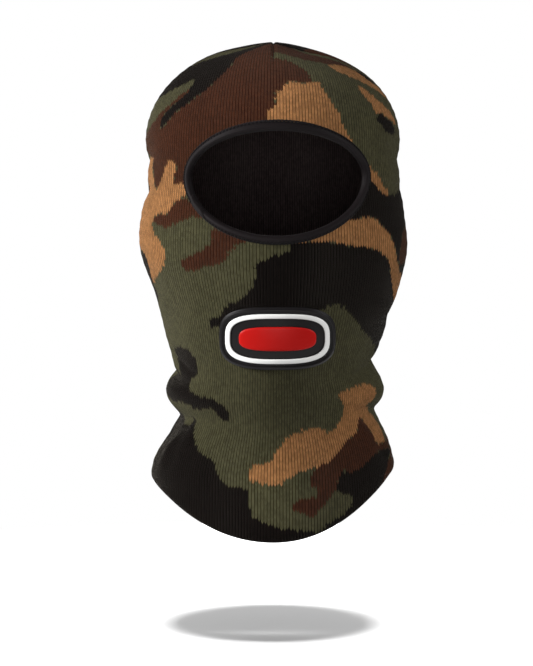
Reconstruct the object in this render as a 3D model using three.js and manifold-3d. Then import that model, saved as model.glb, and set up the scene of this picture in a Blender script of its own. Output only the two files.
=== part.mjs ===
// A knitted balaclava in the shape it takes on a head: a camouflage outer layer and a black lining,
// each of a front and a back panel, an oval face opening bound with folded elastic tape, and a
// moulded rubber patch at the chin. Millimetres, +Z up. The origin is the middle of the head at ear
// level, the face looks along -Y, and +X is the wearer's left.
import * as THREE from "three";
import { mergeVertices } from "three/addons/utils/BufferGeometryUtils.js";
import Module from "manifold-3d";

const wasm = await Module();
wasm.setup();

// Driving dimensions
const CROWN_HEIGHT = 112; // ear level to the top of the crown
const DOME_HEIGHT = 66; // the crown closes over this height
const HEM_HEIGHT = { right: -182, left: -174, front: -215, back: -202 };
const GAP = 0.3; // clearance between pieces that touch
const OUTER_THICK = 2.6;
const LINING_THICK = 1.6;
const SPACE_THICK = 2.0; // between the two layers, where the seam allowances lie
const HEM_TURN = 20; // the outer layer turns in and up by this much at the hem
const FACE = { x: 2.3, z: 26.5, wide: 58, up: 33.2, down: 36 }; // inside edge of the face opening
const SIDE_SHARE = 0.5; // of a margin at the ends of the oval, where the cheek turns away
const BELOW_SHARE = 0.85; // of a margin along the lower edge, which is stretched less
const BINDING = { lap: 5.6, thick: 1.2, steps: 48 };
const STITCH = { from: 0.6, wide: 1.2, thick: 0.9 }; // the thread ring just outside the binding
const OVERLOCK = { wide: 6, thick: 0.9, inwards: 3.2 }; // seam allowances bound with thread
const PATCH = { x: 2.5, z: -77.5, wide: 37.5, high: 21, roundness: 3.2, steps: 40 };
const LABEL = { wide: 24, high: 26, thick: 0.6 }; // care label, inside the back of the neck
const PANEL_ROWS = 24;
const PANEL_COLUMNS = 18; // facets from side seam to side seam
const FACET_ROOM = 0.9; // how far a flat facet of the lining may stand in from its true curve

// Outer shape below the dome: height, half width to the wearer's right and left, depth to the front
// and to the back.
const STATIONS = [
  [-215, 84, 84, 88, 97],
  [-190, 83, 83.5, 82, 90],
  [-172, 81.7, 81.7, 77, 84],
  [-156, 75, 77.5, 76, 80],
  [-140, 67, 71, 77, 77],
  [-120, 69.5, 71.5, 83, 77],
  [-103, 68, 68.5, 89, 78],
  [-85, 72.5, 74, 93.5, 82],
  [-60, 78.5, 82.5, 97, 90],
  [-30, 88.5, 88.5, 99, 99],
  [0, 88.5, 87.5, 99, 106],
  [25, 85.5, 85, 97.5, 109],
  [46, 86, 85, 95, 108],
];
const DOME_BASE = CROWN_HEIGHT - DOME_HEIGHT;
const DOME_START = 0.67; // share of the way up the panel at which the dome begins
const SEAM_ANGLE = Math.PI / 2;
const LAYERS_THICK = OUTER_THICK + GAP + LINING_THICK; // where the two layers lie together

const { MathUtils, Vector2, Vector3 } = THREE;

// Value of one station column at a height, on a smooth curve through the stations.
function station(column, height) {
  const last = STATIONS.length - 1;
  const z = MathUtils.clamp(height, STATIONS[0][0], STATIONS[last][0]);
  let i = 0;
  while (i < last - 1 && STATIONS[i + 1][0] < z) i += 1;
  const row = (n) => STATIONS[MathUtils.clamp(n, 0, last)];
  const slope = (n) => {
    if (n === 0 || n === last) return 0;
    return (row(n + 1)[column] - row(n - 1)[column]) / (row(n + 1)[0] - row(n - 1)[0]);
  };
  const span = row(i + 1)[0] - row(i)[0];
  const t = (z - row(i)[0]) / span;
  const t2 = t * t;
  const t3 = t2 * t;
  return (
    (2 * t3 - 3 * t2 + 1) * row(i)[column] +
    (t3 - 2 * t2 + t) * span * slope(i) +
    (3 * t2 - 2 * t3) * row(i + 1)[column] +
    (t3 - t2) * span * slope(i + 1)
  );
}

// The dome closes in like an ellipse: 1 at its base, 0 at the crown.
function closing(height) {
  const rise = Math.max(0, height - DOME_BASE) / DOME_HEIGHT;
  return Math.sqrt(Math.max(0, 1 - rise * rise));
}

// Hem height at an angle round the head, 0 at the face: lowest in front and behind.
function hemHeight(angle) {
  const c = Math.cos(angle);
  const end = c > 0 ? HEM_HEIGHT.front : HEM_HEIGHT.back;
  const side = Math.sin(angle) < 0 ? HEM_HEIGHT.right : HEM_HEIGHT.left;
  return side + (end - side) * c * c;
}

// A point of the outer surface, by angle round the head and share of the way from hem to crown.
function skin(angle, share) {
  let z;
  let k = 1;
  if (share <= DOME_START) {
    z = MathUtils.lerp(hemHeight(angle), DOME_BASE, share / DOME_START);
  } else {
    const turn = ((share - DOME_START) / (1 - DOME_START)) * (Math.PI / 2);
    z = DOME_BASE + DOME_HEIGHT * Math.sin(turn);
    k = Math.cos(turn);
  }
  const width = station(Math.sin(angle) < 0 ? 1 : 2, z);
  const depth = station(Math.cos(angle) > 0 ? 3 : 4, z);
  return new Vector3(width * k * Math.sin(angle), -depth * k * Math.cos(angle), z);
}

// The same point, moved inwards along the surface normal.
function wall(angle, share, inwards) {
  const p = skin(angle, share);
  if (share > 0.999) return p.add(new Vector3(0, 0, -inwards));
  const da = 1e-3;
  const ds = 1e-3;
  const round = skin(angle + da, share).sub(skin(angle - da, share));
  const up = skin(angle, Math.min(share + ds, 1)).sub(skin(angle, Math.max(share - ds, 0)));
  return p.addScaledVector(round.cross(up).normalize(), -inwards);
}

// A point of the front surface by x and height, moved outwards along the normal.
function front(x, height, outwards) {
  const y = (px, pz) => {
    const k = closing(pz);
    const width = station(px < 0 ? 1 : 2, pz) * k;
    return -station(3, pz) * k * Math.sqrt(Math.max(0, 1 - (px / width) ** 2));
  };
  const e = 0.05;
  const slopeX = (y(x + e, height) - y(x - e, height)) / (2 * e);
  const slopeZ = (y(x, height + e) - y(x, height - e)) / (2 * e);
  const normal = new Vector3(slopeX, -1, slopeZ).normalize();
  return new Vector3(x, y(x, height), height).addScaledVector(normal, outwards);
}

// A point of the face opening's edge, grown outwards by a margin.
function faceEdge(turn, margin) {
  const c = Math.cos(turn);
  const s = Math.sin(turn);
  const wide = FACE.wide + SIDE_SHARE * margin;
  const high = s > 0 ? FACE.up + margin : FACE.down + BELOW_SHARE * margin;
  return new Vector2(FACE.x + wide * c, FACE.z + high * s);
}

// The space between the layers closes up round the face opening.
const CLOSED_WITHIN = 1.2; // times the opening's size
const OPEN_BEYOND = 1.46;

function spaceAt(angle, share) {
  const p = skin(angle, share);
  if (p.y > 0) return SPACE_THICK;
  const u = (p.x - FACE.x) / FACE.wide;
  const w = (p.z - FACE.z) / (p.z > FACE.z ? FACE.up : FACE.down);
  const away = MathUtils.smoothstep(Math.hypot(u, w), CLOSED_WITHIN, OPEN_BEYOND);
  return MathUtils.lerp(GAP, SPACE_THICK, away);
}

// Closed geometry from points and triangles, with shared vertices merged and slivers dropped.
function geometryFrom(points, triangles) {
  const geometry = new THREE.BufferGeometry();
  geometry.setAttribute("position", new THREE.Float32BufferAttribute(points.flatMap((p) => p.toArray()), 3));
  geometry.setIndex(triangles.flat());
  const merged = mergeVertices(geometry, 1e-3);
  const index = merged.index.array;
  const kept = [];
  for (let i = 0; i < index.length; i += 3) {
    const [a, b, c] = [index[i], index[i + 1], index[i + 2]];
    if (a !== b && b !== c && a !== c) kept.push(a, b, c);
  }
  merged.setIndex(kept);
  return merged;
}

// Sweeps a closed profile of (share, inwards) points from one angle to another. place gives the
// point for an angle and a profile point. Both ends lie in the plane y = 0, and are capped.
function sweep(profile, from, to, steps, place) {
  const points = [];
  for (let i = 0; i <= steps; i += 1) {
    const angle = MathUtils.lerp(from, to, i / steps);
    profile.forEach((q) => points.push(place(angle, q)));
  }
  const n = profile.length;
  const triangles = [];
  for (let i = 0; i < steps; i += 1) {
    for (let j = 0; j < n; j += 1) {
      const a = i * n + j;
      const b = i * n + ((j + 1) % n);
      triangles.push([a, b, a + n], [b, b + n, a + n]);
    }
  }
  for (const end of [0, steps * n]) {
    const contour = points.slice(end, end + n).map((p) => new Vector2(p.x, p.z));
    const faces = THREE.ShapeUtils.triangulateShape(contour, []);
    const area = (list) => THREE.ShapeUtils.area(list);
    for (const [a, b, c] of faces) {
      const along = area([contour[a], contour[b], contour[c]]) * area(contour) > 0;
      const outward = along === (end > 0) ? [a, b, c] : [a, c, b];
      triangles.push(outward.map((k) => k + end));
    }
  }
  return geometryFrom(points, triangles);
}

// Joins a profile swept all the way round: ring(i) gives the profile's points at step i. An open
// profile must start and end at a single point that every step shares.
function loop(steps, ring, open) {
  const points = [];
  for (let i = 0; i < steps; i += 1) points.push(...ring(i));
  const n = points.length / steps;
  const triangles = [];
  for (let i = 0; i < steps; i += 1) {
    const next = ((i + 1) % steps) * n;
    for (let j = 0; j < (open ? n - 1 : n); j += 1) {
      const k = (j + 1) % n;
      triangles.push([i * n + j, i * n + k, next + j], [i * n + k, next + k, next + j]);
    }
  }
  return geometryFrom(points, triangles);
}

function solidOf(geometry) {
  return new wasm.Manifold(
    new wasm.Mesh({
      numProp: 3,
      vertProperties: geometry.attributes.position.array,
      triVerts: new Uint32Array(geometry.index.array),
    }),
  );
}

function geometryOf(solid) {
  const mesh = solid.getMesh();
  const geometry = new THREE.BufferGeometry();
  geometry.setAttribute("position", new THREE.BufferAttribute(mesh.vertProperties, 3));
  geometry.setIndex(new THREE.BufferAttribute(mesh.triVerts, 1));
  return geometry;
}

const balaclava = new THREE.Group();

const MATERIALS = {
  outer: new THREE.MeshStandardMaterial({ color: 0x4a4a33, roughness: 0.95, metalness: 0 }),
  lining: new THREE.MeshStandardMaterial({ color: 0x1b1717, roughness: 0.95, metalness: 0 }),
  binding: new THREE.MeshStandardMaterial({ color: 0x262122, roughness: 0.6, metalness: 0 }),
  thread: new THREE.MeshStandardMaterial({ color: 0x141213, roughness: 0.7, metalness: 0 }),
  rubberBlack: new THREE.MeshStandardMaterial({ color: 0x1d1d1d, roughness: 0.5, metalness: 0 }),
  rubberWhite: new THREE.MeshStandardMaterial({ color: 0xe6e6e4, roughness: 0.5, metalness: 0 }),
  rubberRed: new THREE.MeshStandardMaterial({ color: 0xc3170f, roughness: 0.5, metalness: 0 }),
  label: new THREE.MeshStandardMaterial({ color: 0xe8e6e0, roughness: 0.8, metalness: 0 }),
};

function add(name, geometry, material, y = 0) {
  const mesh = new THREE.Mesh(geometry, material);
  mesh.name = name;
  mesh.position.y = y;
  balaclava.add(mesh);
  return mesh;
}

// The face opening is cut square through both front panels, just outside the binding's fold.
const PANEL_EDGE = BINDING.thick + 0.7;
const CUT_BEYOND = { face: 8, centre: 50 }; // how far the cutter stands out on either side

function faceCutter() {
  const tip = (outwards) => front(FACE.x, FACE.z, outwards);
  const ring = (i) => {
    const p = faceEdge((i / BINDING.steps) * 2 * Math.PI, PANEL_EDGE);
    return [
      tip(-CUT_BEYOND.centre),
      front(p.x, p.y, -2 * CUT_BEYOND.face),
      front(p.x, p.y, CUT_BEYOND.face),
      tip(CUT_BEYOND.centre),
    ].reverse();
  };
  return solidOf(loop(BINDING.steps, ring, true));
}

// Heights as shares of the way up, worked out from millimetres at the front of the hem.
const SHARE_PER_MM = DOME_START / (DOME_BASE - HEM_HEIGHT.front);
const HEM_FOLD = HEM_TURN * SHARE_PER_MM;
const HEM_SLOT = 3 * SHARE_PER_MM; // the turned-in edge lies free of the outside from here up
const HEM_SEAM = 3 * SHARE_PER_MM; // room between the turned-in edge and the lining
const LINING_START = HEM_FOLD + HEM_SEAM;

// Evenly spaced rows between two shares.
function rows(from, to, count) {
  return Array.from({ length: count + 1 }, (_, i) => MathUtils.lerp(from, to, i / count));
}

// The outer layer: down the outside, round the hem fold, up the turned-in edge, down into the slot
// beside it and back up inside.
function outerProfile() {
  const outside = rows(0, 1, PANEL_ROWS);
  const inside = outside.filter((share) => share > HEM_FOLD);
  const turned = OUTER_THICK + GAP;
  const at = (shares, inwards) => shares.map((share) => new Vector2(share, inwards));
  return [
    ...at(outside.toReversed(), 0),
    ...at([0, HEM_SLOT, HEM_FOLD], turned + OUTER_THICK),
    ...at([HEM_FOLD, HEM_SLOT], turned),
    ...at([HEM_SLOT, HEM_FOLD, ...inside], OUTER_THICK),
  ];
}

// The lining: down its outside and back up inside.
function liningProfile() {
  const up = [LINING_START, ...rows(0, 1, PANEL_ROWS).filter((share) => share > LINING_START)];
  return [
    ...up.toReversed().map((share) => new Vector2(share, 0)),
    ...up.map((share) => new Vector2(share, LINING_THICK)),
  ];
}

// The outer layer and the lining, each a front and a back panel that meet at the side seams.
const PANELS = [
  { side: "front", from: -SEAM_ANGLE, to: SEAM_ANGLE, shift: -GAP / 2 },
  { side: "back", from: SEAM_ANGLE, to: 3 * SEAM_ANGLE, shift: GAP / 2 },
];
const opening = faceCutter();
for (const { side, from, to, shift } of PANELS) {
  const outer = sweep(outerProfile(), from, to, PANEL_COLUMNS, (angle, q) => wall(angle, q.x, q.y));
  const lining = sweep(liningProfile(), from, to, PANEL_COLUMNS, (angle, q) =>
    wall(angle, q.x, OUTER_THICK + spaceAt(angle, q.x) + q.y),
  );
  const cut = (geometry) =>
    side === "front" ? geometryOf(solidOf(geometry).subtract(opening)) : geometry;
  add("outer_" + side + "_panel", cut(outer), MATERIALS.outer, shift);
  add("lining_" + side + "_panel", cut(lining), MATERIALS.lining, shift);
}

// A band that follows the edge of the face opening: its section is a list of (margin, outwards).
function faceBand(section) {
  return loop(BINDING.steps, (i) => {
    const turn = (i / BINDING.steps) * 2 * Math.PI;
    return section.map(([margin, outwards]) => {
      const p = faceEdge(turn, margin);
      return front(p.x, p.y, outwards);
    });
  });
}

// The binding folds round the cut edges of all the layers, and reaches as far inside as outside.
const { lap, thick } = BINDING;
const outerFace = GAP + thick;
const innerFace = -(LAYERS_THICK + GAP + FACET_ROOM + thick);
const ROUND = 0.8; // of the fold
add(
  "face_binding",
  faceBand([
    [0, outerFace - ROUND],
    [ROUND, outerFace],
    [lap, outerFace],
    [lap, GAP],
    [thick, GAP],
    [thick, innerFace + thick],
    [lap, innerFace + thick],
    [lap, innerFace],
    [ROUND, innerFace],
    [0, innerFace + ROUND],
  ]),
  MATERIALS.binding,
  -GAP / 2,
);

const stitchFrom = lap + STITCH.from;
add(
  "face_binding_stitching",
  faceBand([
    [stitchFrom, GAP + STITCH.thick],
    [stitchFrom + STITCH.wide, GAP + STITCH.thick],
    [stitchFrom + STITCH.wide, GAP],
    [stitchFrom, GAP],
  ]),
  MATERIALS.thread,
  -GAP / 2,
);

// Skins a list of equal rings, upwards, and closes both ends with flat caps.
function beam(rings) {
  const n = rings[0].length;
  const triangles = [];
  for (let i = 0; i < rings.length - 1; i += 1) {
    for (let j = 0; j < n; j += 1) {
      const a = i * n + j;
      const b = i * n + ((j + 1) % n);
      triangles.push([a, b, a + n], [b, b + n, a + n]);
    }
  }
  const last = (rings.length - 1) * n;
  for (let j = 1; j < n - 1; j += 1) {
    triangles.push([0, j + 1, j], [last, last + j, last + j + 1]);
  }
  return geometryFrom(rings.flat(), triangles);
}

// A seam's overlocked allowances, which run up between the layers at one angle.
function overlock(angle, from, to) {
  const along = new Vector3(Math.cos(angle), Math.sin(angle), 0).multiplyScalar(OVERLOCK.wide / 2);
  const shares = [from, ...rows(0, 1, PANEL_ROWS).filter((s) => s > from && s < to), to];
  const outer = OVERLOCK.inwards;
  const inner = outer + OVERLOCK.thick;
  return beam(
    shares.map((share) => [
      wall(angle, share, outer).sub(along),
      wall(angle, share, outer).add(along),
      wall(angle, share, inner).add(along),
      wall(angle, share, inner).sub(along),
    ]),
  );
}

const SEAM_START = LINING_START + 2 * SHARE_PER_MM;
const SEAM_END = 0.95; // the seams stop short of the crown, where they meet
const DART_START = 0.86;
add("side_seam_overlock_left", overlock(SEAM_ANGLE, SEAM_START, SEAM_END), MATERIALS.thread);
add("side_seam_overlock_right", overlock(-SEAM_ANGLE, SEAM_START, SEAM_END), MATERIALS.thread);
add("crown_dart_overlock_front", overlock(0, DART_START, SEAM_END), MATERIALS.thread);
add("crown_dart_overlock_back", overlock(Math.PI, DART_START, SEAM_END), MATERIALS.thread);

// The seam that joins the turned-in hem to the lower edge of the lining.
const HEM_ROOM = 0.6; // between the seam and the edges on either side of it
const hemRoom = HEM_ROOM * SHARE_PER_MM;
const hemSeam = { low: HEM_FOLD + hemRoom, high: LINING_START - hemRoom, outer: 3.4, inner: 4.8 };
add(
  "hem_overlock",
  loop(2 * PANEL_COLUMNS, (i) => {
    const angle = (i / PANEL_COLUMNS) * Math.PI;
    return [
      wall(angle, hemSeam.high, hemSeam.outer),
      wall(angle, hemSeam.low, hemSeam.outer),
      wall(angle, hemSeam.low, hemSeam.inner),
      wall(angle, hemSeam.high, hemSeam.inner),
    ];
  }),
  MATERIALS.thread,
);

// The patch lies on the curve of the chin. Its section is a list of (inset from its edge, outwards),
// from the middle of its top round to the middle of its underside.
function patchPiece(section) {
  const open = section[0][0] === PATCH.high;
  const power = 2 / PATCH.roundness;
  return loop(
    PATCH.steps,
    (i) => {
      const turn = (i / PATCH.steps) * 2 * Math.PI;
      const c = Math.cos(turn);
      const s = Math.sin(turn);
      const x = Math.sign(c) * Math.abs(c) ** power;
      const z = Math.sign(s) * Math.abs(s) ** power;
      return section.map(([inset, outwards]) =>
        front(PATCH.x + x * (PATCH.wide - inset), PATCH.z + z * (PATCH.high - inset), outwards),
      );
    },
    open,
  );
}

const PATCH_FLOOR = 2.0; // outwards from the knit, with the rim standing above it
const PATCH_RIM = 3.1;
const PATCH_UNDER = 0.5;
const PATCH_CROWN = 0.2; // the red bar stands this much proud of the rim at its middle
const PATCH_FILL = PATCH_FLOOR + GAP; // the white and red fills start here
const RIM_WIDE = 2.6;
const RING = { from: 4.4, to: 7.4 };
const BAR = { from: 13, to: 17 }; // the bar is flat beyond its second inset
const BASE_STEPS = [8, 14]; // insets at which the base bends to the curve of the chin
const TOP_CORNER = 1; // of the rim
add(
  "patch_base",
  patchPiece([
    [PATCH.high, PATCH_FLOOR],
    ...BASE_STEPS.toReversed().map((inset) => [inset, PATCH_FLOOR]),
    [RIM_WIDE, PATCH_FLOOR],
    [RIM_WIDE, PATCH_RIM],
    [TOP_CORNER, PATCH_RIM],
    [0, PATCH_RIM - TOP_CORNER],
    [0, PATCH_UNDER],
    ...BASE_STEPS.map((inset) => [inset, PATCH_UNDER]),
    [PATCH.high, PATCH_UNDER],
  ]),
  MATERIALS.rubberBlack,
  -GAP / 2,
);
add(
  "patch_ring",
  patchPiece([
    [RING.to, PATCH_RIM],
    [RING.from, PATCH_RIM],
    [RING.from, PATCH_FILL],
    [RING.to, PATCH_FILL],
  ]),
  MATERIALS.rubberWhite,
  -GAP / 2,
);
add(
  "patch_bar",
  patchPiece([
    [PATCH.high, PATCH_RIM + PATCH_CROWN],
    [BAR.to, PATCH_RIM + PATCH_CROWN],
    [BAR.from, PATCH_RIM],
    [BAR.from, PATCH_FILL],
    [BAR.to, PATCH_FILL],
    [PATCH.high, PATCH_FILL],
  ]),
  MATERIALS.rubberRed,
  -GAP / 2,
);

// The care label is sewn inside the back of the neck, just above the hem seam.
const labelFrom = LINING_START + 4 * SHARE_PER_MM;
const labelTo = labelFrom + LABEL.high * SHARE_PER_MM;
const labelFace = OUTER_THICK + SPACE_THICK + LINING_THICK + GAP + FACET_ROOM;
add(
  "care_label",
  beam(
    rows(labelFrom, labelTo, 3).map((share) => {
      const side = new Vector3(LABEL.wide / 2, 0, 0);
      return [
        wall(Math.PI, share, labelFace).add(side),
        wall(Math.PI, share, labelFace).sub(side),
        wall(Math.PI, share, labelFace + LABEL.thick).sub(side),
        wall(Math.PI, share, labelFace + LABEL.thick).add(side),
      ];
    }),
  ),
  MATERIALS.label,
);

export default balaclava;
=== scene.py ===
"""A knitted balaclava in the shape it takes on a head: a camouflage outer layer and a black lining,
an oval face opening bound with satin elastic, and a moulded rubber patch at the chin. The wearer
looks along -Y, +X is the wearer's left, and the origin is the middle of the head at ear level.
"""

import math

import bmesh
import bpy
import numpy as np
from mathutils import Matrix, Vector


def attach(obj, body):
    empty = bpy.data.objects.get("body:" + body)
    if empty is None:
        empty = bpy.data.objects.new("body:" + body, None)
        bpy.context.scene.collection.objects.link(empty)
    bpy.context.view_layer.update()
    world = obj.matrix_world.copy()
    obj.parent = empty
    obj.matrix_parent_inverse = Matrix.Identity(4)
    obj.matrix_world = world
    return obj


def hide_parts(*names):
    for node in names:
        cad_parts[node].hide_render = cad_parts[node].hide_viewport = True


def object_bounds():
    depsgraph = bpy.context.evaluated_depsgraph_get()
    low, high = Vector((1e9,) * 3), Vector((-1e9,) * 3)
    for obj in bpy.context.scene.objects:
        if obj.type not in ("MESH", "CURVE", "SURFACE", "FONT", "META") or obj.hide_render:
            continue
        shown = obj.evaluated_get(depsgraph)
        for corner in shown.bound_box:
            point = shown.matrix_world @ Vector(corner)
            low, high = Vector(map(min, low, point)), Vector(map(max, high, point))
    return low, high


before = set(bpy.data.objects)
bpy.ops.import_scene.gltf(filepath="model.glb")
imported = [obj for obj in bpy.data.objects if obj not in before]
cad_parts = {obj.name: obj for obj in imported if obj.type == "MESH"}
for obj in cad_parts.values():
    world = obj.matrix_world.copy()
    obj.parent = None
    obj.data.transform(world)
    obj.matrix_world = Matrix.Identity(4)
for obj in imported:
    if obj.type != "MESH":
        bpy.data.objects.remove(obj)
cad_low, cad_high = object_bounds()
MM = 0.001

# ---------------------------------------------------------------------------------------------
# Camera: a long lens from the front, a little above the face.
CAMERA_DISTANCE = 4.0
CAMERA_ELEVATION = math.radians(6.0)
FRAMED_HEIGHT = 0.4495
AIM_ASIDE, AIM_BELOW = -0.0047, 0.0325  # from the middle of the part
AIM = Vector((AIM_ASIDE, 0, (cad_low.z + cad_high.z) / 2 - AIM_BELOW))

camera = bpy.data.objects.new("camera", bpy.data.cameras.new("camera"))
bpy.context.collection.objects.link(camera)
toward_camera = Vector((0, -math.cos(CAMERA_ELEVATION), math.sin(CAMERA_ELEVATION)))
camera.location = AIM + toward_camera * CAMERA_DISTANCE
camera.rotation_euler = (-toward_camera).to_track_quat("-Z", "Y").to_euler()
camera.data.sensor_width = 36
camera.data.lens = camera.data.sensor_width * CAMERA_DISTANCE / FRAMED_HEIGHT
camera.data.clip_end = 100
bpy.context.scene.camera = camera


# ---------------------------------------------------------------------------------------------
# Studio: a matt white floor a little below the hem, a white surround, a broad light in front, a
# strong one at the left and weak ones behind the crown and at the right. The floor has two lights of
# its own: a high one, which drops the soft shadow, and one from behind, which thins it out.
def linear(hex_colour):
    """An sRGB hex colour as linear RGBA."""
    parts = [int(hex_colour[i : i + 2], 16) / 255 for i in (0, 2, 4)]
    return [p / 12.92 if p <= 0.04045 else ((p + 0.055) / 1.055) ** 2.4 for p in parts] + [1]


def add_node(tree, kind, inputs=None, **settings):
    """Adds a node with its settings. An input is a value, or a node or an output to link."""
    made = tree.nodes.new(kind)
    for name, value in settings.items():
        setattr(made, name, value)
    for name, value in (inputs or {}).items():
        if isinstance(value, bpy.types.Node):
            value = value.outputs[0]
        if isinstance(value, bpy.types.NodeSocket):
            tree.links.new(value, made.inputs[name])
        else:
            made.inputs[name].default_value = value
    return made


def new_material(name):
    """A material with an empty node tree, and the tree."""
    material = bpy.data.materials.new(name)
    material.use_nodes = True
    material.node_tree.nodes.clear()
    return material, material.node_tree


def shade(tree, inputs):
    """Adds the Principled shader and the output that ends a material."""
    shader = add_node(tree, "ShaderNodeBsdfPrincipled", inputs)
    add_node(tree, "ShaderNodeOutputMaterial", {"Surface": shader})


# Matt paint has no shine at all, so nothing but the shadow shows on the floor.
FLOOR_DROP = 0.067
FLOOR_RADIUS = 0.5
bpy.ops.mesh.primitive_circle_add(
    vertices=96, radius=FLOOR_RADIUS, fill_type="NGON", location=(0, 0, cad_low.z - FLOOR_DROP)
)
floor = bpy.context.object
floor.name = "studio_floor"
floor_paint, tree = new_material("matt_white_floor_paint")
shade(tree, {"Base Color": linear("F8F8F8"), "Roughness": 1.0, "Specular IOR Level": 0.0})
floor.data.materials.append(floor_paint)
floor.visible_diffuse = False  # its lights are strong, and would throw light up onto the knit

world = bpy.data.worlds.new("white_surround")
bpy.context.scene.world = world
world.use_nodes = True
world.node_tree.nodes.clear()
SURROUND_SEEN = 1.0
SURROUND_LIGHT = 0.22
rays = add_node(world.node_tree, "ShaderNodeLightPath")
strength = add_node(
    world.node_tree,
    "ShaderNodeMapRange",
    {"Value": rays.outputs["Is Camera Ray"], "To Min": SURROUND_LIGHT, "To Max": SURROUND_SEEN},
)
surround = add_node(
    world.node_tree, "ShaderNodeBackground", {"Color": linear("FFFFFF"), "Strength": strength}
)
add_node(world.node_tree, "ShaderNodeOutputWorld", {"Surface": surround})


def lit_by(name, link):
    """A list that makes a light fall on the floor only, or on everything but the floor."""
    lit = bpy.data.collections.new(name)
    lit.objects.link(floor)
    lit.collection_objects[0].light_linking.link_state = link
    return lit


FLOOR_ONLY = lit_by("floor_only", "INCLUDE")
NOT_FLOOR = lit_by("not_floor", "EXCLUDE")


def soft_light(name, place, size, power, lit):
    """A square area light that faces the middle of the head."""
    lamp = bpy.data.objects.new(name, bpy.data.lights.new(name, "AREA"))
    bpy.context.collection.objects.link(lamp)
    lamp.location = place
    lamp.rotation_euler = (AIM - Vector(place)).to_track_quat("-Z", "Y").to_euler()
    lamp.data.size = size
    lamp.data.energy = power
    lamp.light_linking.receiver_collection = lit


soft_light("front_light", (0.1, -3.2, 0.0), 1.3, 37, NOT_FLOOR)
soft_light("left_light", (-2.3, -0.7, 0.8), 0.9, 142, NOT_FLOOR)
soft_light("right_light", (2.2, -0.5, 1.0), 0.9, 38, NOT_FLOOR)
soft_light("top_light", (-0.2, 0.5, 1.4), 0.5, 7, NOT_FLOOR)
soft_light("floor_light", (0.0, 0.05, 6.0), 2.4, 850, FLOOR_ONLY)
soft_light("floor_fill", (0.0, 2.6, 0.75), 1.0, 78, FLOOR_ONLY)
bpy.context.scene.view_settings.view_transform = "Standard"

# ---------------------------------------------------------------------------------------------
# Outer layer: a front and a back panel of jacquard-knitted acrylic in four colours, stretched over
# the head and sewn up the sides. A panel is knitted flat, so its wales run straight up until the
# crown's darts and seams cut them off. The hem is turned in and the neck slumps into soft rolls.
# Sizes are in millimetres.
KNIT_THICK = 2.6
CROWN = 112.0
DOME_HEIGHT = 66.0
DOME_BASE = CROWN - DOME_HEIGHT
DOME_ARC = 120.0  # from the dome's base to the crown, over the knit
TOP = DOME_BASE + DOME_ARC
HEM = {"right": -182.0, "left": -174.0, "front": -215.0, "back": -202.0}
HEM_TURN = 20.0
GAP = 0.3  # between layers that lie on each other
# Height, half width to the wearer's right and left, depth to the front and to the back.
STATIONS = np.array(
    [
        (-215, 84, 84, 88, 97),
        (-190, 83, 83.5, 82, 90),
        (-172, 81.7, 81.7, 77, 84),
        (-156, 75, 77.5, 76, 80),
        (-140, 67, 71, 77, 77),
        (-120, 69.5, 71.5, 83, 77),
        (-103, 68, 68.5, 89, 78),
        (-85, 72.5, 74, 93.5, 82),
        (-60, 78.5, 82.5, 97, 90),
        (-30, 88.5, 88.5, 99, 99),
        (0, 88.5, 87.5, 99, 106),
        (25, 85.5, 85, 97.5, 109),
        (46, 86, 85, 95, 108),
    ],
    float,
)
RIGHT, LEFT, FRONT, BACK = 1, 2, 3, 4


def station(column, height):
    """One column of the stations at a height, on a smooth curve through them."""
    zs, vs = STATIONS[:, 0], STATIONS[:, column]
    slope = np.zeros(len(zs))
    slope[1:-1] = (vs[2:] - vs[:-2]) / (zs[2:] - zs[:-2])
    z = np.clip(height, zs[0], zs[-1])
    i = np.clip(np.searchsorted(zs, z) - 1, 0, len(zs) - 2)
    span = zs[i + 1] - zs[i]
    t = (z - zs[i]) / span
    return (
        (2 * t**3 - 3 * t**2 + 1) * vs[i]
        + (t**3 - 2 * t**2 + t) * span * slope[i]
        + (3 * t**2 - 2 * t**3) * vs[i + 1]
        + (t**3 - t**2) * span * slope[i + 1]
    )


def smooth_step(low, high, x):
    """0 up to low, 1 from high on, and a smooth rise between."""
    t = np.clip((x - low) / (high - low), 0, 1)
    return t * t * (3 - 2 * t)


def hem_height(angle):
    """Height of the hem's lower edge, which is arched up over the shoulders."""
    c = np.cos(angle)
    end = np.where(c > 0, HEM["front"], HEM["back"])
    side = np.where(np.sin(angle) < 0, HEM["right"], HEM["left"])
    return side + (end - side) * c * c


def height_of(rise):
    """Rise is the distance up over the knit, counted from ear level: this is its height."""
    turn = np.clip((rise - DOME_BASE) / DOME_ARC, 0, 1) * np.pi / 2
    return np.where(rise <= DOME_BASE, rise, DOME_BASE + DOME_HEIGHT * np.sin(turn))


def closing(rise):
    """How far the dome has closed in: 1 at its base, 0 at the crown."""
    return np.cos(np.clip((rise - DOME_BASE) / DOME_ARC, 0, 1) * np.pi / 2)


def bare_surface(angle, rise):
    """The outer surface before its folds, by angle round the head from the face, and rise."""
    z, k = height_of(rise), closing(rise)
    side, ahead = np.sin(angle), np.cos(angle)
    width = np.where(side < 0, station(RIGHT, z), station(LEFT, z)) * k
    depth = np.where(ahead > 0, station(FRONT, z), station(BACK, z)) * k
    return np.stack([width * side, -depth * ahead, z], -1)


def unit(vectors):
    """The vectors, each made one long."""
    return vectors / np.linalg.norm(vectors, axis=-1, keepdims=True)


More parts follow.
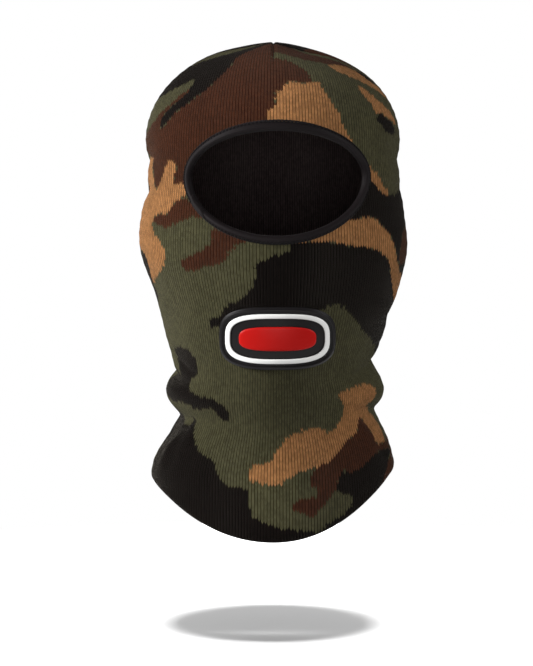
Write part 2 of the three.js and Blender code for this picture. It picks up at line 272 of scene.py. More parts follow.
def surface(angle, rise, out=0.0):
    """A point of the outer surface with its folds and seams, moved outwards by a distance."""
    angle, rise = np.broadcast_arrays(np.asarray(angle, float), np.asarray(rise, float))
    step = 2e-3
    # Near the crown the normal turns straight up, because the surface there has no direction.
    low = np.minimum(rise, TOP - 2 * step)
    round_ = bare_surface(angle + step, low) - bare_surface(angle - step, low)
    up = bare_surface(angle, low + step) - bare_surface(angle, low - step)
    lift = folds(angle, rise) - seam_dip(angle, rise) + out
    return bare_surface(angle, rise) + unit(np.cross(round_, up)) * np.asarray(lift)[..., None]


# Soft folds: angle in degrees (positive to the wearer's left), height, half length in degrees, half
# width, lift, and slope in millimetres of height for each degree.
ROLLS = [
    (-80, -124, 36, 10, 3.2, 0.00),
    (78, -122, 32, 11, 3.0, 0.00),
    (180, -118, 60, 13, 4.0, 0.00),
    (-84, -16, 22, 18, 1.2, 0.00),
    (82, -24, 22, 18, 1.5, 0.00),
    (62, 132, 50, 26, -2.5, 0.00),
    (-80, 147, 45, 12, -1.4, 0.00),
    (75, 147, 45, 14, -2.2, 0.00),
    (-66, -158, 6, 16, 2.2, 0.80),
    (-52, -150, 7, 18, 1.8, 0.60),
    (-38, -160, 8, 20, 1.2, 0.40),
    (56, -152, 8, 18, 1.7, -0.60),
    (74, -160, 6, 14, 1.6, -0.80),
    (40, -112, 16, 7, 1.0, 0.30),
    (-44, -118, 16, 7, 1.1, -0.30),
    (140, -60, 24, 12, 1.8, 0.35),
    (-135, -66, 24, 12, 1.6, -0.35),
    (64, 26, 12, 5, 1.5, -0.50),
    (-62, 44, 14, 6, 1.0, 0.55),
    (-64, -58, 18, 9, 1.2, 0.30),
    (66, -66, 16, 8, 1.2, -0.45),
]
CREASES = [
    (-80, -111, 28, 3.6, -5.5, -0.10),
    (-78, -139, 30, 4.5, -4.5, 0.05),
    (-86, -151, 20, 9.0, -3.0, 0.10),
    (78, -104, 24, 4.0, -5.0, 0.12),
    (80, -134, 28, 4.5, -4.0, -0.10),
    (84, -71, 20, 7.0, -2.6, 0.15),
    (180, -102, 50, 5.0, -3.5, 0.00),
    (180, -135, 50, 5.0, -3.0, 0.00),
    (-88, 33, 15, 5.0, -2.6, 0.30),
    (-88, 13, 16, 8.0, -3.8, 0.35),
    (-70, 2, 14, 4.0, -1.1, 0.45),
    (88, 34, 16, 5.0, -2.0, -0.35),
    (84, 16, 16, 5.0, -1.5, -0.40),
    (70, 40, 12, 4.0, -0.9, -0.60),
    (72, -97, 13, 3.4, -2.0, 0.50),
    (-64, -101, 13, 3.4, -2.0, -0.40),
    (-60, -142, 10, 4.0, -1.2, 0.50),
    (62, -140, 10, 4.0, -1.2, -0.60),
]


def folds(angle, rise):
    """The lift of all the folds at a point."""
    degrees = np.degrees(angle)
    total = np.zeros(np.shape(degrees))
    for kinds, power in ((ROLLS, 2.0), (CREASES, 1.3)):
        for middle, height, length, width, lift, slope in kinds:
            off = (degrees - middle + 180) % 360 - 180
            across = (rise - height - slope * off) / width
            total = total + lift * np.exp(-np.abs(across) ** power - (off / length) ** 2)
    return total


SEAM_DEPTH = {"side": 1.3, "dart": 1.0}
SEAM_WIDE = {"side": 1.7, "dart": 0.9}  # of the dip beside a seam
DART_START = DOME_BASE + 0.7 * DOME_ARC
DART_TAPER = 0.7  # how fast a dart's dip fades out below its start
DOME_HALF_BREADTH = 88.0
PUCKER = 0.25  # lift of the small gathers along a seam
PUCKER_STEP, PUCKER_WIDE = 7.0, 5.0


def seam_dip(angle, rise):
    """How far the side seams and the crown's darts pull the knit in beside them."""
    angle, rise = np.broadcast_arrays(angle, rise)
    side = (angle + np.pi / 2) % np.pi - np.pi / 2  # from the nearest dart line
    across = closing(rise) * DOME_HALF_BREADTH
    seam = np.abs(np.abs(side) - np.pi / 2) * across
    dart = np.abs(side) * across + np.clip(DART_START - rise, 0, None) * DART_TAPER
    gather = PUCKER * np.sin(rise * 2 * np.pi / PUCKER_STEP)
    dip = gather * np.exp(-((np.minimum(seam, dart) / PUCKER_WIDE) ** 2))
    for off, kind in ((seam, "side"), (dart, "dart")):
        dip = dip + SEAM_DEPTH[kind] * np.exp(-((off / SEAM_WIDE[kind]) ** 2))
    return dip


EAR_SHARE = 0.56  # of the way up a panel, where its rows become level


def hem_to_crown(angle, share):
    """Rise by share of the way up, with level rows above ear level."""
    low = hem_height(angle) * (1 - share / EAR_SHARE)
    return np.where(share < EAR_SHARE, low, TOP * (share - EAR_SHARE) / (1 - EAR_SHARE))


def corners_of(grid):
    """A grid of values, gathered for the four corners of each of its cells."""
    return np.stack([grid[:-1, :-1], grid[:-1, 1:], grid[1:, 1:], grid[1:, :-1]], 2)


def all_cells(grid):
    """Says of each cell of a grid that it is there."""
    return np.ones((grid.shape[0] - 1, grid.shape[1] - 1), bool)


def finished_piece(name, mesh, material, nodes):
    """Makes the piece of a mesh: joins doubled points, shades it, and ties it to the frame."""
    work = bmesh.new()
    work.from_mesh(mesh)
    bmesh.ops.delete(work, geom=[v for v in work.verts if not v.link_faces], context="VERTS")
    bmesh.ops.remove_doubles(work, verts=work.verts, dist=1e-6)
    bmesh.ops.recalc_face_normals(work, faces=work.faces)
    work.to_mesh(mesh)
    work.free()
    mesh.shade_smooth()
    mesh.materials.append(material)
    piece = bpy.data.objects.new(name, mesh)
    bpy.context.collection.objects.link(piece)
    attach(piece, "root")
    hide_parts(*nodes)
    return piece


BAKE_SPAN = 420.0  # of panel across the baked square
BAKE_ASIDE = 0.38  # size of the inside's copy, which lies beside the outside's
BAKE_MARGINS = (0.005, 0.004)  # at the square's low edges, and at its right


def shell_mesh(name, outer, inner, keep, layers):
    """A closed mesh from two grids of points, an outside and an inside, with walls round its edges.

    keep says which of the grid's cells are there, and layers gives each cell corner's values for
    the named layers. The layer called knit also lays out the map that the finish is baked on.
    """
    rows, columns = outer.shape[:2]
    vertex = np.arange(rows * columns).reshape(rows, columns)
    cells = corners_of(vertex)[keep]
    inside = rows * columns
    walls, wall_source = [], []
    grid = np.pad(keep, 1)
    row_of, column_of = np.nonzero(keep)
    for side, (dr, dc) in enumerate([(-1, 0), (0, 1), (1, 0), (0, -1)]):
        bare = ~grid[row_of + 1 + dr, column_of + 1 + dc]
        a, b = cells[bare, side], cells[bare, (side + 1) % 4]
        walls.append(np.stack([b, a, a + inside, b + inside], -1))
        wall_source.append((np.nonzero(bare)[0], side))
    faces = np.concatenate([cells, cells[:, ::-1] + inside, *walls])
    points = np.concatenate([outer.reshape(-1, 3), inner.reshape(-1, 3)]) * MM
    mesh = bpy.data.meshes.new(name)
    mesh.from_pydata(points.tolist(), [], faces.tolist())

    def for_every_face(outside, turned_in):
        """Values of the cells' corners, laid out for the outside, the inside and the walls."""
        parts = [outside, turned_in[:, ::-1]]
        for cell, side in wall_source:
            pair = outside[cell][:, [(side + 1) % 4, side]]
            parts.append(np.concatenate([pair, pair[:, ::-1]], 1))
        return np.concatenate(parts).reshape(-1, outside.shape[-1]).astype(np.float32).ravel()

    for layer, values in layers.items():
        data = for_every_face(values[keep], values[keep])
        if layer == "knit":
            mesh.uv_layers.new(name=layer).uv.foreach_set("vector", data)
        else:
            made = mesh.attributes.new(layer, "FLOAT_VECTOR", "CORNER")
            made.data.foreach_set("vector", data)
    flat = layers["knit"][keep]
    flat = (flat - flat.min((0, 1))) / BAKE_SPAN + BAKE_MARGINS[0]
    shift = 1 - BAKE_ASIDE * flat[..., 0].max() - BAKE_MARGINS[1]
    aside = flat * BAKE_ASIDE + [shift, 0.0]
    mesh.uv_layers.new(name="OFBake").uv.foreach_set("vector", for_every_face(flat, aside))
    return mesh


# The face opening: its middle, half width, and half heights above and below, inside the binding.
FACE_X, FACE_Z = 2.3, 26.5
FACE_WIDE, FACE_UP, FACE_DOWN = 58.0, 33.2, 36.0
SIDE_SHARE = 0.5  # of a margin at the ends of the oval, where the cheek turns away
BELOW_SHARE = 0.85  # of a margin along the lower edge, which is stretched less
EDGE_UNDER_BINDING = 1.9  # from the binding's fold to the cut edges


def half_size(above, margin):
    """The opening's half width and half height, above or below its middle, grown by a margin."""
    high = np.where(above, FACE_UP + margin, FACE_DOWN + BELOW_SHARE * margin)
    return FACE_WIDE + SIDE_SHARE * margin, high


def face_edge(turn, margin):
    """A point of the opening's edge, grown outwards by a margin, as x and height."""
    wide, high = half_size(np.sin(turn) > 0, margin)
    return FACE_X + wide * np.cos(turn), FACE_Z + high * np.sin(turn)


def off_middle(angle, rise, margin=0.0):
    """How far a place is off the opening's middle, across and up, as shares of its half size."""
    bare = bare_surface(angle, rise)
    wide, high = half_size(bare[..., 2] > FACE_Z, margin)
    return (bare[..., 0] - FACE_X) / wide, (bare[..., 2] - FACE_Z) / high


def front_place(x, z):
    """Angle and rise of the front surface's point at x and a height."""
    rise = np.where(
        z <= DOME_BASE,
        z,
        DOME_BASE + DOME_ARC * np.arcsin(np.clip((z - DOME_BASE) / DOME_HEIGHT, 0, 1)) * 2 / np.pi,
    )
    width = np.where(x < 0, station(RIGHT, z), station(LEFT, z)) * closing(rise)
    return np.arcsin(np.clip(x / width, -1, 1)), rise


def opening_cells(angle, rise, margin):
    """Cuts the face opening in a panel's grid: the cells that stay, with the grid's points along
    the cut moved onto the opening's oval."""
    across, up = off_middle(angle, rise, margin)
    keep = corners_of(np.hypot(across, up)).mean(2) > 1
    grid = np.pad(keep, 1, constant_values=True)
    round_point = np.stack([grid[:-1, :-1], grid[:-1, 1:], grid[1:, :-1], grid[1:, 1:]], -1)
    on_cut = round_point.any(-1) & ~round_point.all(-1)
    cut_angle, cut_rise = front_place(*face_edge(np.arctan2(up, across), margin))
    return keep, np.where(on_cut, cut_angle, angle), np.where(on_cut, cut_rise, rise)


PRESSED = 0.5  # share of a layer's thickness that is left under the binding
PRESSED_WITHIN, LOOSE_BEYOND = 1.16, 1.4  # times the opening's size
BEHIND = 9.0  # stands for the back of the head, which is far outside the opening


def beyond_opening(angle, rise):
    """How far out a place is, as a share of the opening's size."""
    return np.where(np.cos(angle) < 0, BEHIND, np.hypot(*off_middle(angle, rise)))


def pressed(angle, rise):
    """Share of a layer's thickness at a place: the binding presses the knit together."""
    loose = smooth_step(PRESSED_WITHIN, LOOSE_BEYOND, beyond_opening(angle, rise))
    return PRESSED + (1 - PRESSED) * loose


GIRTH_PER_RADIAN = 93.0  # of panel, for each radian round the head


def panel_across(angle, rise):
    """Where the corners of cells lay across the flat panel, in millimetres.

    The crown is four gores. Above the darts' start a gore keeps its width, so that the seams on
    either side of it cut the camouflage off.
    """
    cell_angle = angle.mean(2, keepdims=True)
    middle = (np.floor(cell_angle / (np.pi / 2)) + 0.5) * np.pi / 2
    kept = np.minimum(1, closing(rise) / closing(DART_START))
    return GIRTH_PER_RADIAN * (middle + kept * (angle - middle))


# Wales that go on up the dome crowd together: with 1 they keep their spacing and end at the seams,
# and with 0 none of them ends, and they meet at the crown.
EVEN_WALES = 0.75
LEAST_WALES = 0.01  # share of them that is left at the crown


def wales_left(rise):
    """Share of the wales that the crown's seams have not cut off yet."""
    return np.maximum(closing(rise), LEAST_WALES) ** EVEN_WALES


def knit_across(angle, rise):
    """Millimetres of stitches from a panel's middle to the corners of cells."""
    return GIRTH_PER_RADIAN * wales_left(rise) * angle


def along_stitches(angle, rise):
    """How far a place moves across the panel for a step across the stitches, and for one up."""
    step = 1e-5
    here = panel_across(angle, rise)
    aside = (panel_across(angle + step, rise) - here) / step
    above = rise + step
    same_wale = angle * wales_left(rise) / wales_left(above)
    return aside / GIRTH_PER_RADIAN / wales_left(rise), (panel_across(same_wale, above) - here) / step


# The camouflage, as outlines in the flat front panel, in the order in which they cover each other.
# Each point is its distance across from the panel's middle, and up from ear level. The ground
# between the outlines is green.
CAMOUFLAGE = [
    ("brown", "-60,168 -35,166 -20,150 -4,140 -4,131 10,128 22,125 32,119 38,112 38,103 30,97 22,88"
     " 20,60 5,45 -40,40 -62,22 -72,13 -100,13 -112,19 -118,34 -135,37 -165,40 -165,50 -133,53"
     " -118,61 -108,71 -98,79 -88,89 -74,100 -66,112 -68,130 -72,168"),
    ("black", "-66,168 -61,150 -60,138 -58,125 -54,116 -58,106 -62,95 -75,81 -88,71 -100,58 -104,66"
     " -99,73 -91,80 -84,90 -88,101 -97,96 -112,89 -130,82 -155,75 -170,90 -150,107 -118,120"
     " -96,129 -80,141 -73,168"),
    ("tan", "-4,60 -4,70 -5,77 1,79 2,92 7,93 10,98 17,102 28,100 45,101 46,93 49,84 53,72 57,58"
     " 62,44 40,36 5,40"),
    ("brown", "8,144 20,139 33,134 55,128 76,124 86,119 100,118 115,115 127,112 118,126 107,134"
     " 90,146 78,168 10,168"),
    ("tan", "82,119 100,119 114,115 122,107 129,99 137,89 146,82 165,76 162,69 146,74 130,82"
     " 112,93 99,100 90,106 82,112"),
    ("black", "121,107 130,106 136,97 131,92 124,98"),
    ("tan", "90,94 99,89 108,80 117,73 127,63 123,59 112,66 101,70 94,70 92,79 89,86"),
    ("black", "92,66 101,71 108,66 118,59 118,53 104,55 96,61"),
    ("black", "12,-8 12,-16 11,-21 3,-23 -11,-29 -12,-37 -17,-47 -28,-54 -38,-58 -43,-64 -54,-68"
     " -54,-73 -42,-72 -20,-74 10,-72 33,-70 36,-61 44,-57 54,-59 61,-63 74,-72 88,-80 113,-90"
     " 150,-98 170,-60 170,0 160,15 116,12 97,13 88,19 80,26 66,34 50,20 40,0"),
    ("tan", "70,34 78,33 86,27 94,20 102,13 95,13 86,19 79,25 70,30"),
    ("tan", "-5,-14 5,-6 30,-6 50,-2 62,-2 74,0 86,-5 97,-13 105,-23 112,-34 130,-45 150,-50 150,-59"
     " 131,-62 118,-55 104,-43 98,-33 86,-25 70,-20 54,-18 45,-16 25,-15"),
    ("brown", "160,-10 138,-11 121,-15 116,-23 113,-30 117,-35 128,-36 160,-32"),
    ("tan", "-112,35 -117,30 -115,22 -106,16 -99,22 -93,32 -86,36 -79,33 -82,21 -66,23 -71,13"
     " -78,9 -86,1 -97,0 -105,-7 -101,-13 -93,-19 -88,-25 -89,-30 -94,-36 -106,-42 -124,-50"
     " -140,-55 -170,-30 -170,20 -140,32 -122,36"),
    ("black", "-165,-24 -130,-27 -122,-29 -118,-35 -121,-43 -124,-50 -122,-59 -165,-64"),
    ("brown", "-104,-4 -97,0 -86,1 -79,9 -74,11 -60,11 -48,2 -62,0 -74,-4 -87,-8 -98,-8"),
    ("brown", "-71,-32 -68,-28 -54,-22 -45,-16 -44,-9 -36,-6 -20,-13 -29,-19 -33,-24 -37,-29"
     " -48,-32 -65,-36"),
    ("black", "-117,-100 -113,-93 -99,-89 -87,-91 -78,-97 -79,-106 -86,-110 -91,-113 -88,-117"
     " -79,-119 -66,-121 -58,-120 -53,-122 -47,-126 -42,-132 -44,-137 -50,-136 -55,-132 -59,-128"
     " -71,-130 -84,-129 -95,-127 -108,-127 -124,-126 -165,-122 -165,-104 -123,-107 -111,-110"
     " -112,-106"),
    ("black", "-165,-128 -131,-135 -121,-134 -113,-141 -95,-142 -89,-137 -84,-140 -80,-147"
     " -72,-154 -64,-159 -52,-162 -46,-169 -40,-176 -33,-180 -20,-182 -18,-190 -15,-199 -5,-203"
     " 7,-206 20,-208 35,-210 60,-214 60,-250 -165,-250"),
    ("black", "50,-181 56,-172 68,-172 80,-168 98,-161 130,-158 165,-160 165,-210 100,-250 40,-250"
     " 35,-211 45,-204 57,-197 63,-193 61,-187 54,-185"),
    ("tan", "-18,-176 -18,-168 -11,-165 -2,-162 6,-152 19,-144 39,-141 49,-144 62,-139 66,-132"
     " 66,-126 59,-119 73,-116 92,-114 108,-118 108,-125 97,-129 103,-131 113,-136 127,-144"
     " 124,-152 110,-156 101,-155 100,-147 88,-137 80,-146 62,-153 47,-163 29,-168 11,-174 2,-179"
     " -11,-177"),
    ("brown", "88,-137 100,-145 101,-154 112,-157 136,-154 165,-154 165,-162 125,-161 98,-161"
     " 80,-168 68,-172 56,-171 50,-178 48,-183 38,-192 28,-199 19,-196 14,-193 19,-188 31,-187"
     " 34,-183 28,-177 32,-169 47,-163 62,-153 80,-146"),
    ("brown", "128,-162 118,-167 109,-174 98,-184 100,-192 118,-196 160,-190 160,-164"),
]
# The back panel has the same outlines turned half round, and these where the face opening was.
BACK_CAMOUFLAGE = [
    ("black", "-48,-92 -30,-70 -8,-74 6,-60 30,-62 38,-78 22,-90 2,-86 -12,-100 -34,-106"),
    ("brown", "-70,-46 -52,-36 -30,-42 -12,-34 2,-42 -14,-54 -40,-58 -62,-60"),
    ("tan", "28,-34 46,-26 70,-34 78,-50 62,-62 44,-54 34,-46"),
]
HALF_TURN_ABOUT = -25.0  # height about which the back's outlines turn


def outline_points(text):
    """An outline's points, with rounded corners: a closed Catmull-Rom curve, four steps a span."""
    p = np.array([[float(n) for n in pair.split(",")] for pair in text.split()])
    before, after, beyond = (np.roll(p, -k, 0) for k in (-1, 1, 2))
    t = np.arange(4)[:, None, None] / 4
    curve = 2 * p + (after - before) * t + (2 * before - 5 * p + 4 * after - beyond) * t**2
    curve = (curve + (3 * p - before - 3 * after + beyond) * t**3) / 2
    return curve.transpose(1, 0, 2).reshape(-1, 2)


def depth_in(outline, places):
    """How deep each place lies inside an outline, negative outside, and which way is deeper."""
    a, b = outline, np.roll(outline, -1, 0)
    side = b - a
    off = places[:, None] - a
    t = np.clip((off * side).sum(-1) / np.maximum((side**2).sum(-1), 1e-9), 0, 1)
    away = off - side * t[..., None]
    nearest = np.hypot(away[..., 0], away[..., 1]).argmin(1)
    away = away[np.arange(len(places)), nearest]
    up, down = places[:, None, 1] >= a[:, 1], places[:, None, 1] >= b[:, 1]
    turn = side[:, 0] * off[..., 1] - side[:, 1] * off[..., 0]
    crossings = (~down & up & (turn < 0)).sum(1) - (down & ~up & (turn > 0)).sum(1)
    sign = np.where(crossings != 0, 1.0, -1.0)
    depth = np.hypot(away[:, 0], away[:, 1])
    return sign * depth, sign[:, None] * away / np.maximum(depth, 1e-6)[:, None]


FAR = 60.0  # depth outside, where no outline is near
NEAR = 15.0  # round an outline, where depths are worked out


def colour_layers(places, outlines):
    """For each colour of yarn, how deep inside it a place lies, and the way to go deeper."""
    flat, whole = np.unique(np.round(places.reshape(-1, 2), 2), axis=0, return_inverse=True)
    fields = {c: np.tile([-FAR, 0.0, 0.0], (len(flat), 1)) for c in ("brown", "tan", "black")}
    for colour, outline in outlines:
        near = ((flat > outline.min(0) - NEAR) & (flat < outline.max(0) + NEAR)).all(1)
        depth, way = depth_in(outline, flat[near])
        found = np.concatenate([depth[:, None], way], 1)
        for other, field in fields.items():
            here = field[near]
            wins = found[:, 0] > here[:, 0] if other == colour else -found[:, 0] < here[:, 0]
            here[wins] = found[wins] if other == colour else -found[wins]
            field[near] = here
    return {c: f[whole.ravel()].reshape(places.shape[:-1] + (3,)) for c, f in fields.items()}


WALE = 2.36  # width of a column of stitches
COURSE = 1.5  # height of a row of stitches
STITCH_SLANT = 1.5  # rows that a stitch's arms climb from its middle to its groove
# Of a wale, from a stitch's middle: where its valley ends, and where the groove beside it begins.
VALLEY_END, GROOVE_START = 0.14, 0.27
VALLEY_FLOOR = 0.6  # height of the yarn in the valley
ROUND_SHARE = 0.78  # of the yarn's height that comes from its roundness along the wale
YARN_DEPTH = 0.0009  # metres
# Painted shade: the knit's colour is scaled by these, darker in its grooves and lighter on the yarn's
# crowns.
PAINTED_GROOVE_LIGHT, PAINTED_YARN_LIGHT = 0.16, 1.72  # share of light in a groove, and what a yarn's height adds
STRAY = 1.8  # by which a stitch may stray over a colour's edge
YARNS = {"green": "3F3D2A", "brown": "371D11", "tan": "8B613C", "black": "0A0605"}


def knit_material(name, wale, course, ground, yarns, sheen):
    """Columns of V-shaped stitches with a groove between them, in fuzzy matt yarn. Painted shade
    darkens the grooves.

    yarns maps the layers that colour the knit to their colours, over the ground colour. Each stitch
    takes one colour whole, so the edges of the camouflage are jagged by a stitch.
    """
    material, tree = new_material(name)
    maths = "ShaderNodeMath"
    knit = add_node(tree, "ShaderNodeUVMap", uv_map="knit")
    place = add_node(tree, "ShaderNodeSeparateXYZ", {0: knit})
    across = add_node(tree, maths, {0: place.outputs[0], 1: wale}, operation="DIVIDE")
    column = add_node(tree, maths, {0: across}, operation="FLOOR")
    in_column = add_node(tree, maths, {0: across}, operation="FRACT")
    off = add_node(tree, maths, {0: in_column, 1: 0.5}, operation="SUBTRACT")
    arm = add_node(tree, maths, {0: off}, operation="ABSOLUTE")
    climb = add_node(tree, maths, {0: place.outputs[1], 1: course}, operation="DIVIDE")
    up = add_node(tree, maths, {0: arm, 1: -2 * STITCH_SLANT, 2: climb}, operation="MULTIPLY_ADD")
    row = add_node(tree, maths, {0: up}, operation="FLOOR")
    in_row = add_node(tree, maths, {0: up}, operation="FRACT")

    # Height of the yarn: round arms, a deep groove between wales and a shallow one inside each.
    groove = {"Value": arm, "From Min": 0.5, "From Max": GROOVE_START}
    groove = add_node(tree, "ShaderNodeMapRange", groove, interpolation_type="SMOOTHSTEP")
    valley = {"Value": arm, "From Max": VALLEY_END, "To Min": VALLEY_FLOOR}
    valley = add_node(tree, "ShaderNodeMapRange", valley, interpolation_type="SMOOTHSTEP")
    turn = add_node(tree, maths, {0: in_row, 1: math.pi}, operation="MULTIPLY")
    lobe = add_node(tree, maths, {0: turn}, operation="SINE")
    lobe = {0: lobe, 1: ROUND_SHARE, 2: 1 - ROUND_SHARE}
    lobe = add_node(tree, maths, lobe, operation="MULTIPLY_ADD")
    height = add_node(tree, maths, {0: groove, 1: valley}, operation="MULTIPLY")
    height = add_node(tree, maths, {0: height, 1: lobe}, operation="MULTIPLY")
    bump = add_node(tree, "ShaderNodeBump", {"Height": height, "Distance": YARN_DEPTH})

    cell = add_node(tree, "ShaderNodeCombineXYZ", {0: column, 1: row})
    chance = add_node(tree, "ShaderNodeTexWhiteNoise", {"Vector": cell}, noise_dimensions="2D")
    colour = add_node(tree, "ShaderNodeRGB")
    colour.outputs[0].default_value = linear(ground)
    if yarns:
        middle = add_node(tree, maths, {0: row, 1: 0.5}, operation="ADD")
        above = add_node(tree, maths, {0: climb, 1: middle}, operation="SUBTRACT")
        back = {0: 1.0}
        back[1] = add_node(tree, maths, {0: off, 1: -wale}, operation="MULTIPLY")
        back[2] = add_node(tree, maths, {0: above, 1: -course}, operation="MULTIPLY")
        back = add_node(tree, "ShaderNodeCombineXYZ", back)
        stray = add_node(tree, "ShaderNodeSeparateXYZ", {0: chance.outputs["Color"]})
        best = STRAY / 2
        for number, (layer, hex_colour) in enumerate(yarns.items()):
            field = add_node(tree, "ShaderNodeAttribute", attribute_name=layer)
            depth = {0: field.outputs["Vector"], 1: back}
            depth = add_node(tree, "ShaderNodeVectorMath", depth, operation="DOT_PRODUCT")
            depth = {0: stray.outputs[number], 1: STRAY, 2: depth.outputs["Value"]}
            depth = add_node(tree, maths, depth, operation="MULTIPLY_ADD")
            wins = add_node(tree, maths, {0: depth, 1: best}, operation="GREATER_THAN")
            best = add_node(tree, maths, {0: depth, 1: best}, operation="MAXIMUM")
            colour = {"Fac": wins, "Color1": colour, "Color2": linear(hex_colour)}
            colour = add_node(tree, "ShaderNodeMixRGB", colour)

    # Painted shade: the colour is darkened in the grooves, where light is lost, and lightened on the
    # yarn's crowns. The yarn's tone also varies a little: from stitch to stitch with the dye, from
    # fibre to fibre, and over the panel with wear.
    lit = {0: height, 1: PAINTED_YARN_LIGHT, 2: PAINTED_GROOVE_LIGHT}
    lit = add_node(tree, maths, lit, operation="MULTIPLY_ADD")
    fibre = add_node(tree, "ShaderNodeTexNoise", {"Vector": knit, "Scale": 0.9, "Detail": 3.0})
    worn = add_node(tree, "ShaderNodeTexNoise", {"Vector": knit, "Scale": 0.03, "Detail": 2.0})
    for varies, spread in ((chance, 0.44), (fibre, 0.5), (worn, 0.3)):
        share = {0: varies, 1: spread, 2: 1 - spread / 2}
        share = add_node(tree, maths, share, operation="MULTIPLY_ADD")
        lit = add_node(tree, maths, {0: lit, 1: share}, operation="MULTIPLY")
    colour = {0: colour, "Scale": lit}
    colour = add_node(tree, "ShaderNodeVectorMath", colour, operation="SCALE")
    shade(
        tree,
        {
            "Base Color": colour,
            "Roughness": 0.92,
            "Specular IOR Level": 0.03,
            "Normal": bump,
            "Sheen Weight": sheen,
            "Sheen Roughness": 0.3,
            "Sheen Tint": linear("D8D0C0"),
        },
    )
    return material


jacquard_knit = knit_material(
    "jacquard_knitted_acrylic",
    wale=WALE,
    course=COURSE,
    ground=YARNS["green"],
    yarns={layer: YARNS[layer] for layer in ("brown", "tan", "black")},
    sheen=0.08,
)

UP_ROWS = 205
TURNED_ROWS = 10
PANEL_COLUMNS = 180
HEM_ROLL = np.linspace(np.pi, 0, 9)[1:-1, None]  # how far the fold has turned, from inside to out
SEAM_GAP = 0.02  # degrees between a panel's edge and the seam


def panel_angles(middle_angle, columns):
    """The angles of a panel's columns of points, from seam to seam."""
    half = 90 - SEAM_GAP
    return np.radians(middle_angle + np.linspace(-half, half, columns + 1))


def outer_panel(name, middle_angle, has_opening, outlines):
    """One panel of the outer layer: down its turned-in edge, round the hem and up to the crown."""
    angles = panel_angles(middle_angle, PANEL_COLUMNS)
    middle = KNIT_THICK + GAP / 2  # the hem folds about a line this far inside
    hem = hem_height(angles)[None, :]
    low = hem + middle
    body = hem_to_crown(angles[None, :], np.linspace(0, 1, UP_ROWS + 1)[:, None])
    body = low + (body - hem) * (TOP - low) / (TOP - hem)
    turned = np.linspace(hem + HEM_TURN, low, TURNED_ROWS, axis=0)[:, 0]
    rise = np.concatenate([turned, low - middle * np.sin(HEM_ROLL), body])
    inner_rise = np.concatenate([turned, low - GAP / 2 * np.sin(HEM_ROLL), body])
    rolled = np.cos(HEM_ROLL) * np.ones_like(hem)
    depth = np.concatenate([2 * middle + 0 * turned, middle * (1 - rolled), 0 * body])
    inner_depth = np.concatenate(
        [2 * middle - KNIT_THICK + 0 * turned, middle - GAP / 2 * rolled, KNIT_THICK + 0 * body]
    )
    up = np.concatenate([2 * low - turned - middle * np.pi, low - middle * HEM_ROLL, body])
    angle = np.broadcast_to(angles, rise.shape)
    keep = all_cells(rise)
    if has_opening:
        keep, angle, cut_rise = opening_cells(angle, rise, EDGE_UNDER_BINDING)
        inner_rise = np.where(cut_rise == rise, inner_rise, cut_rise)
        up = np.where(cut_rise == rise, up, cut_rise)
        rise = cut_rise
        inner_depth = inner_depth * pressed(angle, rise)
    outer = surface(angle, rise, -depth)
    inner = surface(angle, inner_rise, -inner_depth)
    from_middle = corners_of(angle) - np.radians(middle_angle)
    corner_rise, corner_up = corners_of(rise), corners_of(up)
    layers = {"knit": np.stack([knit_across(from_middle, corner_rise), corner_up], -1)}
    places = np.stack([panel_across(from_middle, corner_rise), corner_up], -1)
    across_step, up_step = along_stitches(from_middle, corner_rise)
    for colour, field in colour_layers(places, outlines).items():
        depth, way_across, way_up = np.moveaxis(field, -1, 0)
        ways = [depth, way_across * across_step, way_up + way_across * up_step]
        layers[colour] = np.stack(ways, -1)
    return shell_mesh(name, outer, inner, keep, layers)


front_outlines = [(colour, outline_points(text)) for colour, text in CAMOUFLAGE]
back_outlines = [(c, [0.0, 2 * HALF_TURN_ABOUT] - points) for c, points in front_outlines]
back_outlines += [(colour, outline_points(text)) for colour, text in BACK_CAMOUFLAGE]
for side, middle_angle, has_opening, outlines in (
    ("front", 0, True, front_outlines),
    ("back", 180, False, back_outlines),
):
    mesh = outer_panel("outer_" + side, middle_angle, has_opening, outlines)
    panel = finished_piece(
        "outer_" + side, mesh, jacquard_knit, [f"outer_{side}_panel"]
    )

# ---------------------------------------------------------------------------------------------
# Lining: a front and a back panel of fine black polyester knit, sewn up at the same seams and
# caught at the turned-in hem. It lies against the outer layer round the face opening, and a little
# inside it elsewhere, with the seam allowances between.
LINING_THICK = 1.6
LAYER_SPACE = 2.0  # between the layers, away from the opening
CLOSED_WITHIN, OPEN_BEYOND = 1.2, 1.46  # times the opening's size, where the layers part
LINING_START = HEM_TURN + 3.0
LINING_ROWS = 150
LINING_COLUMNS = 120
fine_knit = knit_material(
    "fine_knitted_polyester", wale=1.9, course=1.3, ground="403636", yarns={}, sheen=0.03
)


def layer_space(angle, rise):
    """The space between the layers, which closes up round the face opening."""
    away = smooth_step(CLOSED_WITHIN, OPEN_BEYOND, beyond_opening(angle, rise))
    return GAP + (LAYER_SPACE - GAP) * away


def lining_panel(name, middle_angle, has_opening):
    """One panel of the lining, from the turned-in hem up to the crown."""
    angles = panel_angles(middle_angle, LINING_COLUMNS)
    share = np.linspace(0, 1, LINING_ROWS + 1)[:, None]
    hem = hem_height(angles)[None, :]
    rise = hem_to_crown(angles[None, :], share)
    rise = hem + LINING_START + (rise - hem) * (TOP - hem - LINING_START) / (TOP - hem)
    angle = np.broadcast_to(angles, rise.shape)
    keep = all_cells(rise)
    if has_opening:
        keep, angle, rise = opening_cells(angle, rise, EDGE_UNDER_BINDING)
    share_left = pressed(angle, rise)
    depth = KNIT_THICK * share_left + layer_space(angle, rise)
    outer = surface(angle, rise, -depth)
    inner = surface(angle, rise, -depth - LINING_THICK * share_left)
    from_middle = corners_of(angle) - np.radians(middle_angle)
    corner_rise = corners_of(rise)
    stitches = np.stack([knit_across(from_middle, corner_rise), corner_rise], -1)
    return shell_mesh(name, outer, inner, keep, {"knit": stitches})


